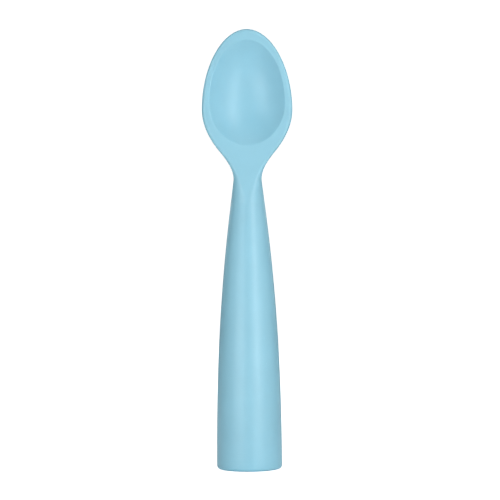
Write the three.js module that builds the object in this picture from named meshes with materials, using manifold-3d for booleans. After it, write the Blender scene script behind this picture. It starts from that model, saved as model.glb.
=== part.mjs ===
// A baby's feeding spoon that stands on the flat end of its handle: a seamless silicone skin
// moulded over a hollow plastic handle core and a flat neck stiffener, closed by a plug in the base.
// Millimetres, +Z up along the handle. The origin is the centre of the base, and the bowl opens to -Y.
import * as THREE from "three";
import { mergeVertices } from "three/addons/utils/BufferGeometryUtils.js";
import Module from "manifold-3d";

const wasm = await Module();
wasm.setup();

// Outer form, seen from the front.
const SPOON_LENGTH = 144.8;
const BASE_RADIUS = 10.8;
const BASE_EDGE_RADIUS = 1.2;
const NECK_RADIUS = 4.72; // half the neck's width
const NECK_Z = 95;
const TAPER_POWER = 2.2; // the handle narrows as this power of the height
const FLARE = { z: 104.6, value: 9.05, slope: 0.83 }; // where the outline opens fastest
const BOWL_CENTRE_Z = 118.5; // the bowl's widest place
const BOWL_HALF_WIDTH = 14.9;
const TIP_ROUNDNESS = 1.95; // superellipse power of the tip, 2 being an ellipse

// Outer form, seen from the side.
const CREASE_Z = 88; // where the handle's front meets the plane of the rim and neck
const RIM_HEIGHT = taperRadius(CREASE_Z); // that plane, in front of the handle's axis
const RIM_EDGE_RADIUS = 1.2;
const EDGE_SOFT_Z = 88; // below this the neck's sides are as round as the handle
const EDGE_CRISP_Z = 100; // above this only the rim's edge is rounded
const NECK_BACK = { z: 99, value: 3.6, slope: 0 };
const BELLY_BACK = { z: BOWL_CENTRE_Z, value: 2.7, slope: 0 };
const HEAD_LEAN = Math.tan(THREE.MathUtils.degToRad(3)); // the bowl leans towards its open side
const BELLY_POWER = 1.4; // 2 is an ellipse, and less is leaner beside the rim

// The hollow that holds the food.
const BASIN_WIDEST_Z = 120.6;
const BASIN_HALF_WIDTH = 12.45;
const BASIN_TIP_REACH = 20.6; // from its widest place towards the tip
const BASIN_HEEL_REACH = 13.8; // from its widest place towards the neck
const BASIN_DEEPEST_Z = 124;
const BASIN_DEPTH = 5.8;
const BASIN_POWER = 2.2; // 2 is a parabola, and more is flatter in the middle

// The pieces inside.
const SKIN_THICKNESS = 2.2;
const FIT_GAP = 0.2; // between nested pieces
const CORE_BOTTOM_Z = 2.4;
const CORE_SHOULDER_Z = 80; // where the core's nose starts to round off
const CORE_TOP_Z = 84;
const CORE_WALL = 1.6;
const CORE_BORE_TOP_Z = 64;
const ANCHOR_GROOVE_Z = [20, 44, 68];
const ANCHOR_GROOVE_DEPTH = 0.6;
const ANCHOR_GROOVE_WIDTH = 2;
const STIFFENER_BOTTOM_Z = 69;
const STIFFENER_TOP_Z = 104.2;
const STIFFENER_HALF_WIDTH = 2.5;
const STIFFENER_PADDLE_HALF_WIDTH = 3.6;
const STIFFENER_PADDLE_Z = 100; // where the paddle is widest
const STIFFENER_PADDLE_LENGTH = 6; // over which the blade widens to it
const STIFFENER_THICKNESS = 2;
const STIFFENER_LEAN = HEAD_LEAN / 2; // it follows the neck towards the leaning bowl
const KEY_HOLE_RADIUS = 1.1;
const KEY_HOLE_Z = [87.5, 93, 98.5];
const BASE_MOUTH_RADIUS = 7.6; // the skin's opening in the base
const PLUG_RECESS = 0.5;
const PLUG_FLANGE_THICKNESS = 1.6;
const PLUG_SPIGOT_TOP_Z = 9.5;
const PLUG_SPIGOT_WALL = 1.3;
const PLUG_BEAD_HEIGHT = 0.1;

// How finely curves are cut.
const HALF_SECTION = { flat: 2, side: 6, back: 8 }; // columns of half a cross-section
const TIP_ROWS = 12;
const BASIN_AROUND = 44;
const BASIN_RINGS = 9;
const LATHE_SEGMENTS = 32;

const RIGHT_ANGLE = Math.PI / 2;
const FRONT_TURN = RIGHT_ANGLE / 3; // where a round section's front columns end and its side's begin
const SILICONE = new THREE.MeshStandardMaterial({ color: 0x8fcde0, roughness: 0.62, metalness: 0 });
const NYLON = new THREE.MeshStandardMaterial({ color: 0xe6e2d6, roughness: 0.5, metalness: 0 });
const CORE_PLASTIC = new THREE.MeshStandardMaterial({ color: 0xdde4e6, roughness: 0.45, metalness: 0 });
const PLUG_PLASTIC = new THREE.MeshStandardMaterial({ color: 0x86c4d8, roughness: 0.5, metalness: 0 });

// ---- Curves -----------------------------------------------------------------------------------

// A cubic between two stations {z, value, slope}.
function hermite(from, to, z) {
  const span = to.z - from.z;
  const t = (z - from.z) / span;
  const rise = to.value - from.value;
  const bend = from.slope * span * (1 - t) - to.slope * span * t;
  const ease = t * t * (3 - 2 * t);
  return from.value + rise * ease + bend * t * (1 - t);
}

// A share of 0 below the span, 1 above it, and a smooth step between.
function smoothShare(z, low, high) {
  return THREE.MathUtils.smoothstep(z, low, high);
}

// The handle's radius, which its taper sets, before the base edge is rounded.
function taperRadius(z) {
  return BASE_RADIUS - (BASE_RADIUS - NECK_RADIUS) * Math.pow(z / NECK_Z, TAPER_POWER);
}

function taperSlope(z) {
  return (-TAPER_POWER * (BASE_RADIUS - NECK_RADIUS) * Math.pow(z / NECK_Z, TAPER_POWER - 1)) / NECK_Z;
}

// Half the spoon's width at a height below the bowl's centre.
function halfWidth(z) {
  if (z < BASE_EDGE_RADIUS) {
    const drop = BASE_EDGE_RADIUS - z;
    return taperRadius(z) - BASE_EDGE_RADIUS + Math.sqrt(BASE_EDGE_RADIUS ** 2 - drop ** 2);
  }
  if (z <= NECK_Z) return taperRadius(z);
  if (z <= FLARE.z) return hermite({ z: NECK_Z, value: NECK_RADIUS, slope: taperSlope(NECK_Z) }, FLARE, z);
  return hermite(FLARE, { z: BOWL_CENTRE_Z, value: BOWL_HALF_WIDTH, slope: 0 }, z);
}

// How far the head has leaned forward at a height. The rim's flat leans from the crease up, and
// what is round eases into it over the neck.
function flatLean(z) {
  return HEAD_LEAN * Math.max(z - CREASE_Z, 0);
}

function lean(z) {
  return flatLean(z) * smoothShare(z, CREASE_Z, NECK_BACK.z);
}

// How far behind the axis the spoon's back is on its centre line, before the head is leaned.
function backReach(z) {
  if (z <= CREASE_Z) return halfWidth(z);
  const crease = { z: CREASE_Z, value: taperRadius(CREASE_Z), slope: taperSlope(CREASE_Z) };
  return z <= NECK_BACK.z ? hermite(crease, NECK_BACK, z) : hermite(NECK_BACK, BELLY_BACK, z);
}

// ---- The outer form ---------------------------------------------------------------------------

// Half a cross-section runs from the front centre line round the side to the back centre line. It
// starts at (0, z) and reaches out along a direction in the XZ plane. The handle's is a circle. Above
// the crease its front has a flat, which widens as the round corners beside it shrink.
function stationRow(z) {
  const width = halfWidth(z);
  const crisp = smoothShare(z, EDGE_SOFT_Z, EDGE_CRISP_Z);
  const front = z < CREASE_Z ? width : RIM_HEIGHT + flatLean(z) - lean(z);
  return {
    centreZ: z,
    direction: [1, 0],
    reach: width,
    front,
    cornerWidth: THREE.MathUtils.lerp(width, RIM_EDGE_RADIUS, crisp),
    cornerHeight: THREE.MathUtils.lerp(front, RIM_EDGE_RADIUS, crisp),
    frontTurn: FRONT_TURN * (1 - crisp),
    back: backReach(z),
    backPower: THREE.MathUtils.lerp(2, BELLY_POWER, smoothShare(z, NECK_BACK.z, BOWL_CENTRE_Z)),
  };
}

// Above the bowl's centre the rows turn round it like a fan, from the side to the tip.
function tipRow(share) {
  const angle = share * RIGHT_ANGLE;
  const power = 2 / TIP_ROUNDNESS;
  const across = BOWL_HALF_WIDTH * Math.pow(Math.max(Math.cos(angle), 0), power);
  const up = (SPOON_LENGTH - BOWL_CENTRE_Z) * Math.pow(Math.sin(angle), power);
  const reach = Math.hypot(across, up);
  const row = stationRow(BOWL_CENTRE_Z);
  return { ...row, direction: [share === 1 ? 0 : across / reach, up / reach], reach };
}

// The points of a half cross-section, as [distance from the centre line, y].
function halfSection(row) {
  const { flat, side, back } = HALF_SECTION;
  const { reach, frontTurn, cornerWidth, cornerHeight } = row;
  const waistY = cornerHeight - row.front;
  const frontReach = reach - cornerWidth * (1 - Math.sin(frontTurn));
  const points = [];
  for (let i = 0; i < flat; i++) {
    const distance = (frontReach * i) / flat;
    const pastFlat = Math.max(distance - (reach - cornerWidth), 0) / cornerWidth;
    points.push([distance, waistY - cornerHeight * Math.sqrt(1 - pastFlat ** 2)]);
  }
  for (let i = 0; i <= side; i++) {
    const turn = THREE.MathUtils.lerp(frontTurn, RIGHT_ANGLE, i / side);
    const distance = reach - cornerWidth * (1 - Math.sin(turn));
    points.push([distance, waistY - cornerHeight * Math.cos(turn)]);
  }
  for (let i = 1; i <= back; i++) {
    const turn = (RIGHT_ANGLE * i) / back;
    const y = waistY + (row.back - waistY) * Math.pow(Math.sin(turn), 2 / row.backPower);
    points.push([i === back ? 0 : reach * Math.cos(turn), y]);
  }
  return points;
}

// A row's points in space, on the right (side 1) or the left (side -1).
function rowPoints(row, side) {
  const [across, up] = row.direction;
  return halfSection(row).map(([distance, y]) => {
    const z = row.centreZ + distance * up;
    return new THREE.Vector3(side * distance * across, y - lean(z), z);
  });
}

// Heights of the cross-sections, closer together where the form turns quickly.
function stationHeights() {
  const spans = [
    [0, BASE_EDGE_RADIUS, 4],
    [BASE_EDGE_RADIUS, CREASE_Z, 15],
    [CREASE_Z, FLARE.z, 12],
    [FLARE.z, BOWL_CENTRE_Z, 8],
  ];
  const heights = [0];
  for (const [low, high, steps] of spans) {
    for (let i = 1; i <= steps; i++) heights.push(THREE.MathUtils.lerp(low, high, i / steps));
  }
  return heights;
}

// The whole outer form, before the basin is cut.
function outerBlank() {
  const rows = stationHeights().map(stationRow);
  for (let i = 1; i <= TIP_ROWS; i++) rows.push(tipRow(i / TIP_ROWS));
  const right = rows.map((row) => rowPoints(row, 1));
  const left = rows.slice(0, -1).reverse().map((row) => rowPoints(row, -1));
  const loops = [...right, ...left];
  const triangles = stripTriangles(loops);
  const middle = new THREE.Vector3(0, 0, 0);
  for (const [base, turn] of [[right[0], 1], [left[left.length - 1], -1]]) {
    for (let i = 1; i < base.length; i++) {
      triangles.push(turn > 0 ? [middle, base[i], base[i - 1]] : [middle, base[i - 1], base[i]]);
    }
  }
  return solidFromTriangles(triangles);
}

// The hollow for food, as a solid that stands proud of the rim's face.
function basinCutter() {
  const proud = 1;
  const rings = [];
  for (let i = 0; i <= BASIN_RINGS; i++) {
    const share = Math.sin((RIGHT_ANGLE * i) / BASIN_RINGS); // close rings near the wall
    rings.push(basinRing(share, BASIN_DEPTH * (1 - Math.pow(share, BASIN_POWER)) - RIM_HEIGHT));
  }
  rings.push(basinRing(1, -RIM_HEIGHT - proud));
  rings.push(basinRing(0, -RIM_HEIGHT - proud));
  return solidFromTriangles(stripTriangles(rings));
}

// A ring of the basin: share 0 is its deepest place and 1 its edge.
function basinRing(share, y) {
  const ring = [];
  for (let i = 0; i <= BASIN_AROUND; i++) {
    const angle = (2 * Math.PI * (i % BASIN_AROUND)) / BASIN_AROUND;
    const reach = Math.sin(angle) > 0 ? BASIN_TIP_REACH : BASIN_HEEL_REACH;
    const x = share * BASIN_HALF_WIDTH * Math.cos(angle);
    const z = THREE.MathUtils.lerp(BASIN_DEEPEST_Z, BASIN_WIDEST_Z + reach * Math.sin(angle), share);
    ring.push(new THREE.Vector3(x, y - flatLean(z), z));
  }
  return ring;
}

// ---- Solids -----------------------------------------------------------------------------------

// Triangles between neighbouring rows of points.
function stripTriangles(rows) {
  const triangles = [];
  for (let i = 1; i < rows.length; i++) {
    for (let j = 1; j < rows[i].length; j++) {
      const [a, b, c, d] = [rows[i - 1][j - 1], rows[i - 1][j], rows[i][j], rows[i][j - 1]];
      triangles.push([a, b, c], [a, c, d]);
    }
  }
  return triangles;
}

function solidFromTriangles(triangles) {
  return solidOf(new THREE.BufferGeometry().setFromPoints(triangles.flat()));
}

// A geometry as a solid: shared vertices merged, flat triangles dropped, faces turned outwards.
function solidOf(geometry) {
  const bare = geometry.index ? geometry.toNonIndexed() : geometry.clone();
  bare.deleteAttribute("normal");
  bare.deleteAttribute("uv");
  const merged = mergeVertices(bare, 1e-4);
  const index = [];
  for (let i = 0; i < merged.index.count; i += 3) {
    const [a, b, c] = [0, 1, 2].map((k) => merged.index.getX(i + k));
    if (a !== b && b !== c && c !== a) index.push(a, b, c);
  }
  const make = (triVerts) =>
    new wasm.Manifold(
      new wasm.Mesh({
        numProp: 3,
        vertProperties: merged.attributes.position.array,
        triVerts: new Uint32Array(triVerts),
      }),
    );
  const made = make(index);
  return made.volume() > 0 ? made : make(index.reverse());
}

function geometryOf(solid) {
  const mesh = solid.getMesh();
  const geometry = new THREE.BufferGeometry();
  geometry.setAttribute("position", new THREE.BufferAttribute(mesh.vertProperties, 3));
  geometry.setIndex(new THREE.BufferAttribute(mesh.triVerts, 1));
  geometry.computeVertexNormals();
  return geometry;
}

// A turned solid from [radius, z] points that run from the axis back to the axis.
function turned(profile) {
  const points = profile.map(([radius, z]) => new THREE.Vector2(radius, z));
  return solidOf(new THREE.LatheGeometry(points, LATHE_SEGMENTS).rotateX(RIGHT_ANGLE));
}

// A plate in the XZ plane, centred on y = 0 at one height and leaning to -Y above it.
function plate(shape, thickness, slope, uprightZ) {
  const options = { depth: thickness, bevelEnabled: false, curveSegments: 8 };
  const geometry = new THREE.ExtrudeGeometry(shape, options);
  geometry.translate(0, 0, -thickness / 2).rotateX(RIGHT_ANGLE);
  const shear = new THREE.Matrix4();
  shear.set(1, 0, 0, 0, 0, 1, -slope, slope * uprightZ, 0, 0, 1, 0, 0, 0, 0, 1);
  return solidOf(geometry.applyMatrix4(shear));
}

// ---- The pieces -------------------------------------------------------------------------------

// The core's outside, grown by a gap. Its rings of grooves hold the silicone on.
function coreBody(gap) {
  const radiusAt = (z) => taperRadius(z) - SKIN_THICKNESS + gap;
  const profile = [[0, CORE_BOTTOM_Z - gap], [radiusAt(CORE_BOTTOM_Z), CORE_BOTTOM_Z - gap]];
  for (const z of ANCHOR_GROOVE_Z) {
    const half = ANCHOR_GROOVE_WIDTH / 2 - gap;
    const slope = ANCHOR_GROOVE_DEPTH;
    profile.push([radiusAt(z - half - slope), z - half - slope]);
    profile.push([radiusAt(z - half) - ANCHOR_GROOVE_DEPTH, z - half]);
    profile.push([radiusAt(z + half) - ANCHOR_GROOVE_DEPTH, z + half]);
    profile.push([radiusAt(z + half + slope), z + half + slope]);
  }
  const noseRows = 4;
  for (let i = 0; i < noseRows; i++) {
    const turn = (RIGHT_ANGLE * i) / noseRows;
    const height = CORE_TOP_Z - CORE_SHOULDER_Z + gap;
    profile.push([radiusAt(CORE_SHOULDER_Z) * Math.cos(turn), CORE_SHOULDER_Z + height * Math.sin(turn)]);
  }
  profile.push([0, CORE_TOP_Z + gap]);
  return turned(profile);
}

function coreBoreRadius(z) {
  return taperRadius(z) - SKIN_THICKNESS - ANCHOR_GROOVE_DEPTH - CORE_WALL;
}

// The core is hollow from below, and its solid nose has a slot for the stiffener.
function handleCore() {
  const endRadius = coreBoreRadius(CORE_BORE_TOP_Z);
  const domeZ = CORE_BORE_TOP_Z - endRadius / 2;
  const steps = 5;
  const bore = [[0, 0], [coreBoreRadius(CORE_BOTTOM_Z), 0]];
  for (let i = 0; i <= steps; i++) {
    const z = THREE.MathUtils.lerp(CORE_BOTTOM_Z, domeZ, i / steps);
    bore.push([coreBoreRadius(z), z]);
  }
  bore.push([endRadius / 2, CORE_BORE_TOP_Z], [0, CORE_BORE_TOP_Z]);
  return coreBody(0).subtract(turned(bore)).subtract(stiffenerBody(FIT_GAP, []));
}

// The stiffener's blade, grown by a gap, with its key holes. Its upper end widens to a round paddle.
function stiffenerBody(gap, holes) {
  const width = STIFFENER_HALF_WIDTH + gap;
  const paddle = STIFFENER_PADDLE_HALF_WIDTH + gap;
  const paddleTop = STIFFENER_TOP_Z + gap - STIFFENER_PADDLE_Z;
  const bottom = STIFFENER_BOTTOM_Z - gap;
  const spreadZ = STIFFENER_PADDLE_Z - STIFFENER_PADDLE_LENGTH;
  const midZ = (spreadZ + STIFFENER_PADDLE_Z) / 2;
  const shape = new THREE.Shape();
  shape.moveTo(-width, bottom);
  shape.lineTo(width, bottom);
  shape.lineTo(width, spreadZ);
  shape.bezierCurveTo(width, midZ, paddle, midZ, paddle, STIFFENER_PADDLE_Z);
  shape.absellipse(0, STIFFENER_PADDLE_Z, paddle, paddleTop, 0, Math.PI, false, 0);
  shape.bezierCurveTo(-paddle, midZ, -width, midZ, -width, spreadZ);
  shape.closePath();
  for (const z of holes) {
    shape.holes.push(new THREE.Path().absarc(0, z, KEY_HOLE_RADIUS - gap, 0, 2 * Math.PI, true));
  }
  return plate(shape, STIFFENER_THICKNESS + 2 * gap, STIFFENER_LEAN, STIFFENER_BOTTOM_Z);
}

// The skin is the outer form less the basin and the room for what it is moulded over.
function siliconeSkin() {
  const plugRoom = [
    [0, -1],
    [BASE_MOUTH_RADIUS, -1],
    [BASE_MOUTH_RADIUS, CORE_BOTTOM_Z + 1],
    [0, CORE_BOTTOM_Z + 1],
  ];
  return outerBlank()
    .subtract(basinCutter())
    .subtract(coreBody(FIT_GAP))
    .subtract(stiffenerBody(FIT_GAP, KEY_HOLE_Z))
    .subtract(turned(plugRoom));
}

// A flanged plug with a hollow spigot and a small bead that holds it in the core.
function basePlug() {
  const flangeRadius = BASE_MOUTH_RADIUS - FIT_GAP;
  const flangeTop = PLUG_RECESS + PLUG_FLANGE_THICKNESS;
  const spigotRadius = coreBoreRadius(PLUG_SPIGOT_TOP_Z) - FIT_GAP;
  const beadZ = PLUG_SPIGOT_TOP_Z - 2;
  return turned([
    [0, PLUG_RECESS],
    [flangeRadius - 0.4, PLUG_RECESS],
    [flangeRadius, PLUG_RECESS + 0.4],
    [flangeRadius, flangeTop],
    [spigotRadius, flangeTop],
    [spigotRadius, beadZ - 0.6],
    [spigotRadius + PLUG_BEAD_HEIGHT, beadZ],
    [spigotRadius, beadZ + 0.6],
    [spigotRadius - 0.5, PLUG_SPIGOT_TOP_Z],
    [spigotRadius - PLUG_SPIGOT_WALL, PLUG_SPIGOT_TOP_Z],
    [spigotRadius - PLUG_SPIGOT_WALL, flangeTop],
    [0, flangeTop],
  ]);
}

function piece(name, solid, material) {
  const mesh = new THREE.Mesh(geometryOf(solid), material);
  mesh.name = name;
  return mesh;
}

const spoon = new THREE.Group();
spoon.add(piece("silicone_skin", siliconeSkin(), SILICONE));
spoon.add(piece("neck_stiffener", stiffenerBody(0, KEY_HOLE_Z), NYLON));
spoon.add(piece("handle_core", handleCore(), CORE_PLASTIC));
spoon.add(piece("base_plug", basePlug(), PLUG_PLASTIC));

export default spoon;
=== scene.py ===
"""A baby's feeding spoon that stands on the flat end of its handle, in soft pale blue silicone."""
import math

import bmesh
import bpy
import numpy as np
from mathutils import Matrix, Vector


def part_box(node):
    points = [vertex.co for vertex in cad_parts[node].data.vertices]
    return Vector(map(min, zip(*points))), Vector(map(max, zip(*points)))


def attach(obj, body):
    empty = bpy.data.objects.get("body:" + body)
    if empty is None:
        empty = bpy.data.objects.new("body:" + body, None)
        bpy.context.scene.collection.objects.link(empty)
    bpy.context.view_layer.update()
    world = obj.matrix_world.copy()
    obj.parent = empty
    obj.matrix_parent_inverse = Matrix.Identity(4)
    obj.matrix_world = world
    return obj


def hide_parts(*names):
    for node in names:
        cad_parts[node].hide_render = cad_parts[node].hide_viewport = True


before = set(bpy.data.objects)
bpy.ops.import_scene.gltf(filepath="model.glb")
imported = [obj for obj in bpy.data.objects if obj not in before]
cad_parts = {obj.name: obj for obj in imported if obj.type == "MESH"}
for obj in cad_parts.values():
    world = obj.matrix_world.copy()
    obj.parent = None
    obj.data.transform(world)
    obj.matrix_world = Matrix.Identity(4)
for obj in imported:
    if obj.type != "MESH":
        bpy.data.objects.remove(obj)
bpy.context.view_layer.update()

MM = 0.001

# ---- Sizes, in millimetres: those the CAD model states, and the finer ones of this surface --------

SKIN_HIGH = np.array(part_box("silicone_skin")[1]) / MM
PLUG_LOW, PLUG_HIGH = (np.array(c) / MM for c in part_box("base_plug"))
CORE_LOW, CORE_HIGH = (np.array(c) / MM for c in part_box("handle_core"))
BLADE_LOW, BLADE_HIGH = (np.array(c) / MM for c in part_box("neck_stiffener"))

SPOON_LENGTH = SKIN_HIGH[2]
BASE_RADIUS = 10.8
BASE_EDGE_RADIUS = 1.2
NECK_RADIUS = 4.72
NECK_Z = 95.0
TAPER_POWER = 2.2
FLARE_Z, FLARE_WIDTH, FLARE_SLOPE = 104.6, 9.05, 0.83
BOWL_CENTRE_Z = 118.5
BOWL_HALF_WIDTH = SKIN_HIGH[0]
TIP_ROUNDNESS = 1.95

CREASE_Z = 88.0  # where the handle's front meets the plane of the rim and neck
CREASE_SOFTNESS = 0.4  # how far below it the handle's last section is
RIM_EDGE_RADIUS = 1.2
EDGE_SOFT_Z, EDGE_CRISP_Z = CREASE_Z, 100.0  # between them the section's round front becomes flat
NECK_BACK_Z, NECK_BACK = 99.0, 3.6
BELLY_BACK, BELLY_POWER = 2.7, 1.4
HEAD_LEAN = math.tan(math.radians(3))  # the bowl leans towards its open side

BASIN_WIDEST_Z, BASIN_DEEPEST_Z = 120.6, 124.0
BASIN_HALF_WIDTH = 12.45
BASIN_TIP_REACH, BASIN_HEEL_REACH = 20.6, 13.8
BASIN_DEPTH, BASIN_POWER = 5.8, 2.2
BASIN_EDGE_SOFTNESS = 0.38

SKIN_GAP = 0.2  # between the skin and what it is moulded over
SKIN_THICKNESS = 2.2
MOUTH_RADIUS = PLUG_HIGH[0] + SKIN_GAP
MOUTH_EDGE_RADIUS = 0.35
MOUTH_TOP_Z = CORE_LOW[2] - SKIN_GAP
NOSE_SHOULDER_Z = 80.0  # where the core's top starts to round over
ANCHOR_GROOVE_Z = (20, 44, 68)
ANCHOR_GROOVE_DEPTH, ANCHOR_GROOVE_WIDTH = 0.6, 2.0
BLADE_HALF_WIDTH = 2.5
PADDLE_Z, PADDLE_LENGTH = 100.0, 6.0
BLADE_THICKNESS, BLADE_LEAN = 2.0, HEAD_LEAN / 2
BLADE_EDGE_RADIUS, SLOT_EDGE_RADIUS = 0.35, 0.05
SLOT_OFFSET = 0.7  # how far the leaning slot is off the axis where it leaves the core's nose
SLOT_MARGIN = 1.02  # the round room ends when it is this much wider than the slot
PARTING_HALF_WIDTH, PARTING_DEPTH = 0.14, 0.04  # the mould's witness line along the sides

BORE_TOP_Z, CORE_WALL, CORE_EDGE_RADIUS = 64.0, 1.6, 0.15
PLUG_FLANGE, PLUG_WALL, PLUG_BEVEL, PLUG_EDGE_RADIUS = 1.6, 1.3, 0.4, 0.18
SNAP_BEAD_DROP, SNAP_BEAD_HALF, SNAP_BEAD_HEIGHT = 2.0, 0.6, 0.1  # the plug's bead, below its top
SPIGOT_BEVEL = 0.5
GATE_RADIUS, GATE_SLOPE, GATE_DEPTH = 0.5, 0.1, 0.2  # the mark of the mould's gate, in a dish
DISH_RADIUS, DISH_SLOPE, DISH_DEPTH = 1.7, 0.3, 0.4
KEY_HOLE_Z, KEY_HOLE_RADIUS = (87.5, 93.0, 98.5), 1.1
PEG_OVERHANG = 1.0  # how far a key hole's peg stands out of the stiffener on each side

# The camera, in millimetres and degrees, with its clipping distances in metres.
CAMERA_DISTANCE, CAMERA_HEIGHT, CAMERA_SIDE = 600, 72.4, 0.63
CAMERA_LENS, CAMERA_SENSOR, CAMERA_ROLL = 130.3, 36, 0.4
CAMERA_CLIP = (0.01, 20)

# The soft boxes: azimuth and elevation from the spoon's middle, then distance, width and height in
# metres, and power. Azimuth 0 is the camera's side and 90 is +X.
LIGHTS = (
    ("strip_right", 32, 20, 0.7, 0.12, 0.6, 1.2),
    ("front_right", 24, 20, 0.7, 0.45, 0.5, 0.6),
    ("wide_right", 50, 8, 0.7, 0.3, 0.5, 0.4),
    ("side_right", 80, 12, 0.7, 0.35, 0.7, 0.7),
    ("front_left", -24, 12, 0.7, 0.26, 0.4, 0.5),
    ("wide_left", -45, 8, 0.7, 0.3, 0.6, 0.8),
    ("side_left", -80, 12, 0.7, 0.35, 0.7, 0.4),
    ("top", 0, 80, 0.7, 0.6, 0.6, 1.2),
    ("card_right", 30, -6, 0.35, 0.2, 0.06, 0.15),
    ("card_left", -30, -6, 0.35, 0.2, 0.06, 0.15),
    ("back_right", 150, 20, 0.7, 0.4, 0.4, 0.7),
    ("back_left", -150, 20, 0.7, 0.4, 0.4, 0.7),
)

# The set: a glowing floor and wall that are seen, and a table that only lights the spoon.
WORLD_STRENGTH = 0.06
BACKDROP_GLOW = 0.95
FLOOR_RADIUS, SWEEP_RADIUS, WALL_HEIGHT = 900, 400, 2600
TABLE_RADIUS = 500
TABLE_DROP = 0.5  # how far the table is below the floor
PAPER_WHITE, PAPER_SPREAD, PAPER_ROUGHNESS = 0.9, 0.01, 0.9

# The materials, with the heights of their relief in millimetres.
SILICONE_COLOUR = (0.28, 0.59, 0.73)
SILICONE_ROUGHNESS = 0.39
RIPPLE_HEIGHT, GRAIN_HEIGHT = 0.01, 0.004
ROUGHNESS_SPREAD = 0.03
LIGHTEST = 0.97

# How finely the surface is cut.
SHARP_DEGREES = 38  # a corner that turns by more is drawn crisp
BASE_EDGE_ROWS, HANDLE_ROWS, NECK_ROWS, FLARE_ROWS, TIP_ROWS = 9, 78, 48, 30, 46
FLAT_COLUMNS, SIDE_COLUMNS, BACK_COLUMNS = 9, 18, 22
FRONT_TURN = math.radians(30)  # where a round section's front columns end and its side's begin
JOIN_Z = 104.0  # above this the front is laid out round the hollow
RIM_RINGS, RIM_RINGS_FROM, FLOOR_RINGS = 5, 0.48, 22
WALL_EDGE_TO, WALL_EDGE_STEP = 0.8, 0.08  # rings at the hollow's edge, by distance in from it
WALL_TO, WALL_STEP = 2.4, 0.2  # and those further down its wall
BASIN_EDGE_SAMPLES = 21
MOUTH_ROWS, NOSE_ROWS, SLOT_ROWS, SLOT_TIP_ROWS = 6, 10, 24, 12
PADDLE_ROWS, BLADE_TIP_ROWS, BLADE_EDGE_POINTS = 12, 14, 5
BORE_ROWS = 12
TURNED_SIDES, PEG_SIDES = 96, 32
SWEEP_ROWS = 16
CORNER_SHARE = 0.45  # how much of an edge a rounded corner may take
SMALLEST_BLADE = 1.01  # the stiffener's least half width, in radii of its edge
SMALLEST_WIDTH, TINY = 1e-4, 1e-9
WELD = 1e-6  # points this close become one, in metres


# ---- Curves ---------------------------------------------------------------------------------------


def hermite(z, start, end):
    """A cubic between two stations, each (z, value, slope)."""
    span = end[0] - start[0]
    t = (z - start[0]) / span
    bend = start[2] * span * (1 - t) - end[2] * span * t
    return start[1] + (end[1] - start[1]) * t * t * (3 - 2 * t) + bend * t * (1 - t)


def smooth_share(z, low, high):
    """From 0 at low to 1 at high, level at both ends."""
    t = np.clip((z - low) / (high - low), 0, 1)
    return t * t * (3 - 2 * t)


def lerp(a, b, share):
    return a + (b - a) * share


def taper_radius(z):
    """The round handle's radius at a height."""
    return BASE_RADIUS - (BASE_RADIUS - NECK_RADIUS) * (max(z, 0) / NECK_Z) ** TAPER_POWER


RIM_HEIGHT = taper_radius(CREASE_Z)  # how far in front of the axis the rim's plane starts


def taper_slope(z):
    """How fast that radius changes."""
    rate = TAPER_POWER * (BASE_RADIUS - NECK_RADIUS) / NECK_Z
    return -rate * (z / NECK_Z) ** (TAPER_POWER - 1)


def half_width(z):
    """Half the spoon's width at a height up to the bowl's centre."""
    flare = (FLARE_Z, FLARE_WIDTH, FLARE_SLOPE)
    if z < BASE_EDGE_RADIUS:
        drop = BASE_EDGE_RADIUS - z
        edge = math.sqrt(max(BASE_EDGE_RADIUS**2 - drop**2, 0))
        return taper_radius(z) - BASE_EDGE_RADIUS + edge
    if z <= NECK_Z:
        return taper_radius(z)
    if z <= FLARE_Z:
        return hermite(z, (NECK_Z, NECK_RADIUS, taper_slope(NECK_Z)), flare)
    return hermite(z, flare, (BOWL_CENTRE_Z, BOWL_HALF_WIDTH, 0))


def flat_lean(z):
    """How far the rim's flat has leaned forward at a height."""
    return HEAD_LEAN * np.maximum(z - CREASE_Z, 0)


def lean(z):
    """How far the round parts have, which ease into it over the neck."""
    return flat_lean(z) * smooth_share(z, CREASE_Z, NECK_BACK_Z)


def back_reach(z):
    """How far behind the axis the back is on its centre line, before the head is leaned."""
    neck = (NECK_BACK_Z, NECK_BACK, 0)
    if z <= CREASE_Z:
        return half_width(z)
    if z <= NECK_BACK_Z:
        return hermite(z, (CREASE_Z, taper_radius(CREASE_Z), taper_slope(CREASE_Z)), neck)
    return hermite(z, neck, (BOWL_CENTRE_Z, BELLY_BACK, 0))


# ---- Meshes ---------------------------------------------------------------------------------------


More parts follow.
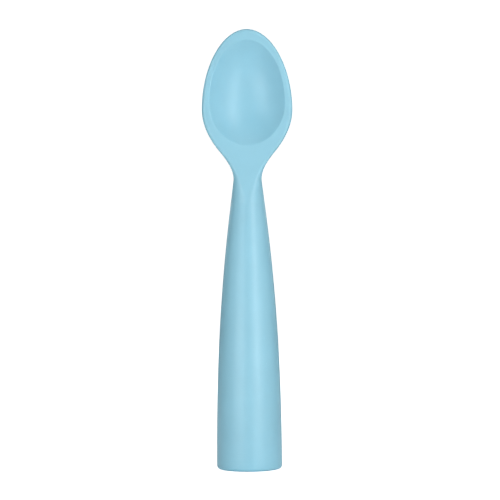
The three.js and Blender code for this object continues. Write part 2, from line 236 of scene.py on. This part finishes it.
class Surface:
    """The points and faces of one piece, gathered in millimetres and then welded."""

    def __init__(self):
        self.points = []
        self.faces = []

    def grid(self, rows, around=False):
        """Faces between neighbouring rows of points, closed on themselves if around."""
        rows = np.asarray(rows, float)
        count, length = rows.shape[:2]
        first = sum(len(p) for p in self.points)
        self.points.append(rows.reshape(-1, 3))
        steps = length if around else length - 1
        for i in range(count - 1):
            for j in range(steps):
                k = (j + 1) % length
                here, above = first + i * length, first + (i + 1) * length
                self.faces.append((here + j, here + k, above + k, above + j))

    def build(self, name):
        """One closed object, its faces turned outwards and its hard corners marked."""
        points = np.concatenate(self.points) * MM
        mesh = bpy.data.meshes.new(name)
        mesh.from_pydata(points.tolist(), [], self.faces)
        form = bmesh.new()
        form.from_mesh(mesh)
        bmesh.ops.remove_doubles(form, verts=form.verts, dist=WELD)
        bmesh.ops.dissolve_degenerate(form, edges=form.edges, dist=WELD)
        bmesh.ops.recalc_face_normals(form, faces=form.faces)
        for face in form.faces:
            face.smooth = True
        for edge in form.edges:
            if edge.is_manifold and edge.calc_face_angle() > math.radians(SHARP_DEGREES):
                edge.smooth = False
        form.to_mesh(mesh)
        form.free()
        piece = bpy.data.objects.new(name, mesh)
        bpy.context.scene.collection.objects.link(piece)
        return piece


# ---- The skin's outer form ------------------------------------------------------------------------


def station_row(z):
    """A cross-section's sizes. It starts at (0, z) and reaches out along a direction in XZ."""
    width = half_width(z)
    crisp = smooth_share(z, EDGE_SOFT_Z, EDGE_CRISP_Z)
    front = width if z < CREASE_Z else RIM_HEIGHT + flat_lean(z) - lean(z)
    belly = smooth_share(z, NECK_BACK_Z, BOWL_CENTRE_Z)
    return {
        "centre_z": z,
        "direction": (1.0, 0.0),
        "reach": width,
        "front": front,
        "corner_width": lerp(width, RIM_EDGE_RADIUS, crisp),
        "corner_height": lerp(front, RIM_EDGE_RADIUS, crisp),
        "front_turn": FRONT_TURN * (1 - crisp),
        "back": back_reach(z),
        "back_power": lerp(2, BELLY_POWER, belly),
    }


def tip_row(share):
    """Above the bowl's centre the cross-sections turn round it like a fan."""
    angle = share * math.pi / 2
    power = 2 / TIP_ROUNDNESS
    across = 0 if share == 1 else BOWL_HALF_WIDTH * math.cos(angle) ** power
    up = (SPOON_LENGTH - BOWL_CENTRE_Z) * math.sin(angle) ** power
    reach = math.hypot(across, up)
    row = station_row(BOWL_CENTRE_Z)
    return row | {"direction": (across / reach, up / reach), "reach": reach}


def half_section(row):
    """The flat's points, then the side's and back's, each as (distance from the centre, y).

    A flat front runs up to a corner, a quarter of an ellipse, and that to the waist, the widest
    place, where the mould's parting line is. The back is a curve from there to the centre line."""
    reach, front, width, height = (row[k] for k in ("reach", "front", "corner_width", "corner_height"))
    centre, waist, split = reach - width, height - front, row["front_turn"]
    flat_reach = centre + width * math.sin(split)
    line = math.asin(min(PARTING_HALF_WIDTH / height, 1))
    closer = 1 - np.cos(np.linspace(0, math.pi / 2, SIDE_COLUMNS))
    turns = np.append(lerp(split, math.pi / 2 - line, closer), math.pi / 2)
    flats = flat_reach * np.sin(np.linspace(0, math.pi / 2, FLAT_COLUMNS))
    inside = np.clip((flats - centre) / width, 0, 1)
    flat_y = waist - height * np.sqrt(1 - inside**2)
    side = np.stack([centre + width * np.sin(turns), waist - height * np.cos(turns)], 1)
    flat = np.stack([flats, flat_y], 1)
    flat[-1] = side[0]
    side[-1, 0] -= PARTING_DEPTH
    depth, power = row["back"] - waist, row["back_power"]
    line = math.asin((PARTING_HALF_WIDTH / depth) ** (power / 2))
    turns = np.linspace(line, math.pi / 2, BACK_COLUMNS)
    back = np.stack([reach * np.cos(turns), waist + depth * np.sin(turns) ** (2 / power)], 1)
    back[-1, 0] = 0
    return flat, np.concatenate([side, back])


def in_space(row, points):
    """A cross-section's points of (distance from the centre, y) as (x, y, z)."""
    across, up = row["direction"]
    distance, y = points[:, 0], points[:, 1]
    z = row["centre_z"] + distance * up
    return np.stack([distance * across, y - lean(z), z], 1)


def mirrored(rows):
    """The same points on the other side of the YZ plane."""
    return np.asarray(rows) * (-1, 1, 1)


def basin_depth(inward, reach):
    """How deep the hollow is at a distance in from its edge, with the edge itself rounded."""
    depth = np.zeros_like(inward)
    offsets = np.linspace(-1, 1, BASIN_EDGE_SAMPLES)
    weights = 1 + np.cos(math.pi * offsets)
    for offset, weight in zip(offsets, weights / weights.sum()):
        share = 1 - (inward + offset * BASIN_EDGE_SOFTNESS) / reach
        depth += weight * BASIN_DEPTH * np.clip(1 - np.clip(share, 0, None) ** BASIN_POWER, 0, None)
    return depth


def front_rings(edge):
    """Rings from the rim's edge in over the flat, down the hollow's wall and to its centre."""
    across = edge[:, 0]
    up = edge[:, 2] - BASIN_WIDEST_Z
    reach_up = np.where(up > 0, BASIN_TIP_REACH, BASIN_HEEL_REACH)
    angle = np.arctan2(up / reach_up, across / BASIN_HALF_WIDTH)
    basin = np.stack([BASIN_HALF_WIDTH * np.cos(angle), reach_up * np.sin(angle)], 1)
    basin[:, 1] += BASIN_WIDEST_Z - BASIN_DEEPEST_Z
    up = edge[:, 2] - BASIN_DEEPEST_Z
    reach = np.hypot(*basin.T)
    outer = basin * (1 + RIM_RINGS_FROM / reach)[:, None]
    rings = []
    for share in np.linspace(0, 1, RIM_RINGS):
        flat = lerp(np.stack([across, up], 1), outer, share)
        rings.append(np.stack([flat[:, 0], np.full(len(flat), -RIM_HEIGHT), flat[:, 1]], 1))
    wall_edge = np.arange(-RIM_RINGS_FROM, WALL_EDGE_TO, WALL_EDGE_STEP)
    wall = np.concatenate([wall_edge, np.arange(WALL_EDGE_TO, WALL_TO, WALL_STEP)])[1:]
    shares = [1 - inward / reach for inward in wall]
    shares += [shares[-1] * step for step in np.linspace(1, 0, FLOOR_RINGS)[1:]]
    for share in shares:
        y = basin_depth((1 - share) * reach, reach) - RIM_HEIGHT
        rings.append(np.stack([basin[:, 0] * share, y, basin[:, 1] * share], 1))
    rings = np.array(rings)
    rings[:, :, 2] += BASIN_DEEPEST_Z
    rings[:, :, 1] -= flat_lean(rings[:, :, 2])
    return rings


def station_heights():
    """Heights of the cross-sections, closer together where the form turns quickly."""
    base_turns = np.linspace(0, math.pi / 2, BASE_EDGE_ROWS)
    spans = [
        BASE_EDGE_RADIUS * (1 - np.cos(base_turns)),
        np.linspace(BASE_EDGE_RADIUS, CREASE_Z - CREASE_SOFTNESS, HANDLE_ROWS)[1:],
        np.linspace(CREASE_Z, JOIN_Z, NECK_ROWS),
        np.linspace(JOIN_Z, BOWL_CENTRE_Z, FLARE_ROWS)[1:],
    ]
    return np.concatenate(spans)


# ---- The room inside the skin ---------------------------------------------------------------------


def core_radius(z):
    """The core's radius, which keeps the silicone's thickness the same all the way up."""
    return taper_radius(z) - SKIN_THICKNESS


def core_profile(gap):
    """The core's outside from its bottom to the top of its nose, grown by a gap, as [r, z]."""
    profile = [[core_radius(CORE_LOW[2]) + gap, CORE_LOW[2] - gap]]
    for z in ANCHOR_GROOVE_Z:
        half = ANCHOR_GROOVE_WIDTH / 2 - gap
        for side in (-1, 1):
            outer = z + side * (half + ANCHOR_GROOVE_DEPTH)
            inner = z + side * half
            pair = [
                [core_radius(outer) + gap, outer],
                [core_radius(inner) + gap - ANCHOR_GROOVE_DEPTH, inner],
            ]
            profile += pair if side < 0 else pair[::-1]
    shoulder = core_radius(NOSE_SHOULDER_Z) + gap
    height = CORE_HIGH[2] + gap - NOSE_SHOULDER_Z
    for turn in np.linspace(0, math.pi / 2, NOSE_ROWS):
        profile.append([shoulder * math.cos(turn), NOSE_SHOULDER_Z + height * math.sin(turn)])
    return profile


def blade_middle(z):
    """The y of the leaning stiffener's middle at a height."""
    return -BLADE_LEAN * (z - BLADE_LOW[2])


def blade_half_width(z, gap):
    """Half the stiffener's width at a height: straight, then a round paddle."""
    paddle = BLADE_HIGH[0] + gap
    top = BLADE_HIGH[2] + gap - PADDLE_Z
    if z >= PADDLE_Z:
        return paddle * math.sqrt(max(1 - ((z - PADDLE_Z) / top) ** 2, 0))
    return lerp(BLADE_HALF_WIDTH + gap, paddle, smooth_share(z, PADDLE_Z - PADDLE_LENGTH, PADDLE_Z))


def paddle_tip(gap, count):
    """Heights over the paddle's round end, closer together towards its top."""
    return PADDLE_Z + (BLADE_HIGH[2] + gap - PADDLE_Z) * np.sin(np.linspace(0, math.pi / 2, count))[1:]


def skin_room(ways):
    """Rows round the inside of the skin, from the base's mouth to the stiffener's end.

    Each row has a point in each of the ways, which are directions in XY."""
    profile = []
    for turn in np.linspace(0, math.pi / 2, MOUTH_ROWS):
        radius = MOUTH_RADIUS + MOUTH_EDGE_RADIUS * (1 - math.sin(turn))
        profile.append((radius, MOUTH_EDGE_RADIUS * (1 - math.cos(turn))))
    profile.append((MOUTH_RADIUS, MOUTH_TOP_Z))
    half_slot, thickness = BLADE_HALF_WIDTH + SKIN_GAP, BLADE_THICKNESS / 2 + SKIN_GAP
    slot_corner = math.hypot(half_slot, thickness + SLOT_OFFSET) * SLOT_MARGIN
    profile += [(r, z) for r, z in core_profile(SKIN_GAP) if r > slot_corner]
    rows = [[(x * r, y * r, z) for x, y in ways] for r, z in profile]
    nose_z = profile[-1][1]
    heights = [*np.linspace(nose_z, PADDLE_Z, SLOT_ROWS), *paddle_tip(SKIN_GAP, SLOT_TIP_ROWS)]
    for z in heights:
        width = max(blade_half_width(z, SKIN_GAP), SMALLEST_WIDTH)
        row = []
        for x, y in ways:
            scale = min(width / max(abs(x), TINY), thickness / max(abs(y), TINY))
            row.append((x * scale, y * scale + blade_middle(z), z))
        rows.append(row)
    end_z = heights[-1]
    rows.append([(0, blade_middle(end_z), end_z)] * len(ways))
    return rows


def head_outline(flats, sides):
    """The edge of the front above JOIN_Z: up the right side, down the left and across the join."""
    right = np.array([side[0] for side in sides[len(flats) - 1 :]])
    join = flats[-1][:-1]
    return np.concatenate([right, mirrored(right)[-2::-1], mirrored(join)[:0:-1], join])


def make_skin():
    """The skin: cross-sections up the handle and round the head, the front's rings and the room."""
    surface = Surface()
    rows = [station_row(z) for z in station_heights()]
    handle_rows = sum(row["centre_z"] <= JOIN_Z for row in rows)
    rows += [tip_row(share) for share in np.linspace(0, 1, TIP_ROWS)[1:]]
    flats, sides = [], []
    for row in rows:
        flat, side = half_section(row)
        flats.append(in_space(row, flat))
        sides.append(in_space(row, side))
    flats = flats[:handle_rows]
    for part in (flats, sides):
        surface.grid(part)
        surface.grid(mirrored(part))
    surface.grid(front_rings(head_outline(flats, sides)), around=True)

    base_half = np.concatenate([flats[0], sides[0][1:]])
    base = np.concatenate([base_half, mirrored(base_half)[-2:0:-1]])
    ways = base[:, :2] / np.linalg.norm(base[:, :2], axis=1)[:, None]
    surface.grid([base.tolist(), *skin_room(ways)], around=True)
    skin = surface.build("spoon_skin")
    for z in KEY_HOLE_Z:
        skin = shaped(skin, peg(z, KEY_HOLE_RADIUS - SKIN_GAP), "UNION")
    return skin


# ---- The other pieces -----------------------------------------------------------------------------


def rounded(profile, radius, steps=4):
    """A profile with each inner corner turned into a small curve."""
    points = [np.array(p, float) for p in profile]
    made = [points[0]]
    for before, corner, after in zip(points, points[1:], points[2:]):
        into, out = before - corner, after - corner
        cut = min(radius, CORNER_SHARE * np.linalg.norm(into), CORNER_SHARE * np.linalg.norm(out))
        start = corner + into / np.linalg.norm(into) * cut
        end = corner + out / np.linalg.norm(out) * cut
        for t in np.linspace(0, 1, steps + 1):
            made.append(lerp(lerp(start, corner, t), lerp(corner, end, t), t))
    made.append(points[-1])
    return made


def turned(name, profile):
    """A piece turned from a profile of [radius, z] that starts and ends on the axis."""
    angles = np.linspace(0, 2 * math.pi, TURNED_SIDES, endpoint=False)
    surface = Surface()
    rows = [[(r * math.cos(a), r * math.sin(a), z) for a in angles] for r, z in profile]
    surface.grid(rows, around=True)
    return surface.build(name)


def shaped(piece, other, operation):
    """Cuts another object out of a piece, or joins it on, and removes that object."""
    step = piece.modifiers.new(operation, "BOOLEAN")
    step.operation, step.object, step.solver = operation, other, "EXACT"
    graph = bpy.context.evaluated_depsgraph_get()
    mesh = bpy.data.meshes.new_from_object(piece.evaluated_get(graph))
    piece.modifiers.clear()
    piece.data = mesh
    bpy.data.objects.remove(other)
    return piece


def peg(z, radius):
    """A round bar through the blade's middle at a height, to cut its key hole or fill it."""
    middle, half_length = blade_middle(z), BLADE_THICKNESS / 2 + PEG_OVERHANG
    surface = Surface()
    angles = np.linspace(0, 2 * math.pi, PEG_SIDES, endpoint=False)
    ends = [(0, -half_length), (radius, -half_length), (radius, half_length), (0, half_length)]
    rows = [[(r * math.cos(a), middle + y, z + r * math.sin(a)) for a in angles] for r, y in ends]
    surface.grid(rows, around=True)
    return surface.build("peg")


def blade(name, gap, edge_radius):
    """The stiffener's plate, with rounded edges, grown by a gap."""
    straight = np.linspace(PADDLE_Z - PADDLE_LENGTH, PADDLE_Z, PADDLE_ROWS)
    heights = [BLADE_LOW[2] - gap, *straight, *paddle_tip(gap, BLADE_TIP_ROWS)]
    thickness = BLADE_THICKNESS / 2 + gap
    edge = []
    for turn in np.linspace(0, math.pi / 2, BLADE_EDGE_POINTS):
        inset, rise = edge_radius * (1 - math.sin(turn)), edge_radius * (1 - math.cos(turn))
        edge.append((-inset, -thickness + rise))
    edge += [(x, -y) for x, y in edge[::-1]]
    rows = []
    for z in heights:
        width = max(blade_half_width(z, gap), edge_radius * SMALLEST_BLADE)
        middle = blade_middle(z)
        half = [(0, middle - thickness, z)]
        half += [(width + x, y + middle, z) for x, y in edge]
        half.append((0, middle + thickness, z))
        rows.append(half + [(-x, y, z) for x, y, z in half[-2:0:-1]])
    ends = [[(0, blade_middle(z), z)] * len(rows[0]) for z in (heights[0], heights[-1])]
    surface = Surface()
    surface.grid([ends[0], *rows, ends[1]], around=True)
    return surface.build(name)


def bore_radius(z):
    """The radius of the hollow in the core."""
    return core_radius(z) - ANCHOR_GROOVE_DEPTH - CORE_WALL


def make_plug():
    """The plug, turned: its face with the gate mark, its flange, its spigot with a snap bead."""
    face, top, end = PLUG_LOW[2], PLUG_LOW[2] + PLUG_FLANGE, PLUG_HIGH[2]
    flange, spigot = PLUG_HIGH[0], bore_radius(end) - SKIN_GAP
    gate, dish = face + GATE_DEPTH, face + DISH_DEPTH
    bead = end - SNAP_BEAD_DROP
    profile = [
        (0, gate), (GATE_RADIUS, gate), (GATE_RADIUS + GATE_SLOPE, dish),
        (DISH_RADIUS, dish), (DISH_RADIUS + DISH_SLOPE, face),
        (flange - PLUG_BEVEL, face), (flange, face + PLUG_BEVEL), (flange, top),
        (spigot, top), (spigot, bead - SNAP_BEAD_HALF),
        (spigot + SNAP_BEAD_HEIGHT, bead), (spigot, bead + SNAP_BEAD_HALF),
        (spigot - SPIGOT_BEVEL, end), (spigot - PLUG_WALL, end), (spigot - PLUG_WALL, top), (0, top),
    ]
    return turned("plug_body", rounded(profile, PLUG_EDGE_RADIUS))


def make_core():
    """The hollow core, turned, with the slot for the stiffener cut into its nose."""
    end = bore_radius(BORE_TOP_Z)
    heights = np.linspace(BORE_TOP_Z - end / 2, CORE_LOW[2], BORE_ROWS)
    bore = [(0, BORE_TOP_Z), (end / 2, BORE_TOP_Z)] + [(bore_radius(z), z) for z in heights]
    core = turned("core_cone", rounded(bore + core_profile(0), CORE_EDGE_RADIUS, steps=2))
    return shaped(core, blade("slot", SKIN_GAP, SLOT_EDGE_RADIUS), "DIFFERENCE")


def make_stiffener():
    """The stiffener's blade with its key holes."""
    plate = blade("stiffener_blade", 0, BLADE_EDGE_RADIUS)
    for z in KEY_HOLE_Z:
        plate = shaped(plate, peg(z, KEY_HOLE_RADIUS), "DIFFERENCE")
    return plate


# ---- Materials ------------------------------------------------------------------------------------


class Nodes:
    """A material's node tree, with the object's own coordinates in millimetres."""

    def __init__(self, name):
        self.material = bpy.data.materials.new(name)
        self.material.use_nodes = True
        self.tree = self.material.node_tree
        self.shader = self.tree.nodes["Principled BSDF"]
        place = self.add("ShaderNodeTexCoord")
        scale = self.add("ShaderNodeVectorMath", operation="SCALE")
        scale.inputs["Scale"].default_value = 1 / MM
        self.link(place.outputs["Object"], scale.inputs[0])
        self.place = scale.outputs[0]

    def add(self, kind, **settings):
        """A new node of a kind."""
        node = self.tree.nodes.new(kind)
        for key, value in settings.items():
            setattr(node, key, value)
        return node

    def link(self, start, end):
        self.tree.links.new(start, end)

    def noise(self, per_mm, detail=2.0, roughness=0.5, stretch=(1, 1, 1)):
        """A noise value of 0 to 1 with a number of waves in a millimetre."""
        shape = self.add("ShaderNodeMapping")
        shape.inputs["Scale"].default_value = stretch
        self.link(self.place, shape.inputs["Vector"])
        node = self.add("ShaderNodeTexNoise")
        node.inputs["Scale"].default_value = per_mm
        node.inputs["Detail"].default_value = detail
        node.inputs["Roughness"].default_value = roughness
        self.link(shape.outputs[0], node.inputs["Vector"])
        return node.outputs["Fac"]

    def spread(self, value, low, high, from_low=0.3, from_high=0.7):
        """A value brought from one range to another."""
        node = self.add("ShaderNodeMapRange")
        ends = {"From Min": from_low, "From Max": from_high, "To Min": low, "To Max": high}
        for key, end in ends.items():
            node.inputs[key].default_value = end
        self.link(value, node.inputs["Value"])
        return node.outputs["Result"]

    def mix(self, share, first, second):
        """A colour between two, each a colour or another node's output."""
        node = self.add("ShaderNodeMix", data_type="RGBA")
        self.link(share, node.inputs["Factor"])
        sockets = [s for s in node.inputs if s.type == "RGBA"]
        for value, socket in zip((first, second), sockets):
            if hasattr(value, "links"):
                self.link(value, socket)
            else:
                socket.default_value = (*value, 1)
        return [s for s in node.outputs if s.type == "RGBA"][0]

    def bump(self, value, height_mm, below=None):
        """The surface's normal with a fine relief, on top of another one."""
        node = self.add("ShaderNodeBump")
        node.inputs["Distance"].default_value = height_mm * MM
        node.inputs["Strength"].default_value = 1.0
        self.link(value, node.inputs["Height"])
        if below is not None:
            self.link(below, node.inputs["Normal"])
        return node.outputs["Normal"]


def toned(colour, factor, added=0):
    """A colour made lighter or darker, and kept below pure white."""
    return tuple(np.minimum(np.array(colour) * factor + added, LIGHTEST))


def moulded(name, colour, roughness, tint=0.025):
    """A moulded surface: cloudy pigment, a few dust specks, a blasted grain and slow ripples."""
    nodes = Nodes(name)
    clouds = nodes.spread(nodes.noise(per_mm=0.09, detail=3), 0, 1)
    base = nodes.mix(clouds, toned(colour, 1 - tint), toned(colour, 1 + tint))
    specks = nodes.spread(nodes.noise(per_mm=2.6, detail=1), 0, 0.5, from_low=0.74, from_high=0.8)
    base = nodes.mix(specks, base, toned(colour, 1.15, added=0.05))
    nodes.link(base, nodes.shader.inputs["Base Color"])
    handled = nodes.noise(per_mm=0.14, detail=4, roughness=0.6, stretch=(1, 1, 0.45))
    worn = nodes.spread(handled, roughness - ROUGHNESS_SPREAD, roughness + ROUGHNESS_SPREAD)
    nodes.link(worn, nodes.shader.inputs["Roughness"])
    ripples = nodes.bump(nodes.noise(per_mm=0.11, detail=1), RIPPLE_HEIGHT)
    grain = nodes.bump(nodes.noise(per_mm=4.5, detail=2), GRAIN_HEIGHT, ripples)
    nodes.link(grain, nodes.shader.inputs["Normal"])
    return nodes.material


def soft_silicone():
    """Matte pale blue silicone that lets a little light through."""
    material = moulded("soft_silicone", SILICONE_COLOUR, SILICONE_ROUGHNESS)
    sockets = material.node_tree.nodes["Principled BSDF"].inputs
    sockets["Subsurface Weight"].default_value = 0.15
    sockets["Subsurface Radius"].default_value = (0.7, 0.9, 1.0)
    sockets["Subsurface Scale"].default_value = 0.0015
    sockets["IOR"].default_value = 1.43
    sockets["Specular IOR Level"].default_value = 0.9
    return material


def tinted_plastic():
    """The plug's hard plastic, in the silicone's colour."""
    return moulded("tinted_plastic", (0.26, 0.58, 0.71), roughness=0.42)


def pale_plastic():
    """The core's satin plastic."""
    return moulded("pale_plastic", (0.72, 0.77, 0.79), roughness=0.36)


def cream_nylon():
    """The stiffener's uncoloured nylon."""
    return moulded("cream_nylon", (0.78, 0.75, 0.66), roughness=0.48, tint=0.03)


def dress(piece, material, node):
    """Gives a piece its material and body, and hides the CAD node that it stands for."""
    piece.data.materials.clear()
    piece.data.materials.append(material)
    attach(piece, "root")
    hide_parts(node)


# ---- The set --------------------------------------------------------------------------------------


def make_camera():
    """Level with the middle of the spoon, square on to the bowl's opening, from across a table."""
    data = bpy.data.cameras.new("camera")
    data.lens = CAMERA_LENS
    data.sensor_width = CAMERA_SENSOR
    camera = bpy.data.objects.new("camera", data)
    bpy.context.scene.collection.objects.link(camera)
    camera.location = Vector((CAMERA_SIDE, -CAMERA_DISTANCE, CAMERA_HEIGHT)) * MM
    camera.rotation_euler = (math.pi / 2, math.radians(CAMERA_ROLL), 0)
    data.clip_start, data.clip_end = CAMERA_CLIP
    bpy.context.scene.camera = camera


def white_paper(name, glow):
    """White paper with faint clouds in its tone, which can glow."""
    nodes = Nodes(name)
    clouds = nodes.spread(nodes.noise(per_mm=0.02, detail=2), 0, 1)
    darker, lighter = (PAPER_WHITE - PAPER_SPREAD,) * 3, (PAPER_WHITE + PAPER_SPREAD,) * 3
    nodes.link(nodes.mix(clouds, darker, lighter), nodes.shader.inputs["Base Color"])
    nodes.shader.inputs["Roughness"].default_value = PAPER_ROUGHNESS
    nodes.shader.inputs["Emission Color"].default_value = (1, 1, 1, 1)
    nodes.shader.inputs["Emission Strength"].default_value = glow
    return nodes.material


def studio_surface(name, profile, glow=0):
    """A round surface from a profile of [radius, z], for the table or what is behind it."""
    surface = turned(name, profile)
    surface.data.materials.append(white_paper(name + "_paper", glow))
    return surface


def make_studio():
    """A white table that sweeps up into a wall all round, and a plain one that lights the spoon."""
    profile = [(0, 0)]
    for turn in np.linspace(0, math.pi / 2, SWEEP_ROWS):
        across, up = SWEEP_RADIUS * math.sin(turn), SWEEP_RADIUS * (1 - math.cos(turn))
        profile.append((FLOOR_RADIUS + across, up))
    profile.append((FLOOR_RADIUS + SWEEP_RADIUS, WALL_HEIGHT))
    backdrop = studio_surface("studio_backdrop", profile, BACKDROP_GLOW)
    backdrop.visible_diffuse = backdrop.visible_glossy = backdrop.visible_shadow = False
    table = studio_surface("studio_table", [(0, -TABLE_DROP), (TABLE_RADIUS, -TABLE_DROP)])
    table.visible_camera = False


def make_world():
    """An even pale studio."""
    world = bpy.data.worlds.new("studio")
    world.use_nodes = True
    background = world.node_tree.nodes["Background"]
    background.inputs["Color"].default_value = (1, 1, 1, 1)
    background.inputs["Strength"].default_value = WORLD_STRENGTH
    bpy.context.scene.world = world
    bpy.context.scene.view_settings.view_transform = "Standard"


def make_light(name, azimuth, elevation, distance, width, height, power):
    """A soft box that faces the spoon's middle."""
    a, e = math.radians(azimuth), math.radians(elevation)
    away = Vector((math.sin(a) * math.cos(e), -math.cos(a) * math.cos(e), math.sin(e)))
    data = bpy.data.lights.new(name, "AREA")
    data.shape = "RECTANGLE"
    data.size, data.size_y = width, height
    data.energy = power
    light = bpy.data.objects.new(name, data)
    bpy.context.scene.collection.objects.link(light)
    light.location = Vector((0, 0, SPOON_LENGTH * MM / 2)) + away * distance
    light.rotation_mode = "QUATERNION"
    light.rotation_quaternion = (-away).to_track_quat("-Z", "Y")
    light.visible_camera = False


make_camera()
make_world()
make_studio()
for light in LIGHTS:
    make_light(*light)

dress(make_skin(), soft_silicone(), "silicone_skin")
dress(make_plug(), tinted_plastic(), "base_plug")
dress(make_core(), pale_plastic(), "handle_core")
dress(make_stiffener(), cream_nylon(), "neck_stiffener")
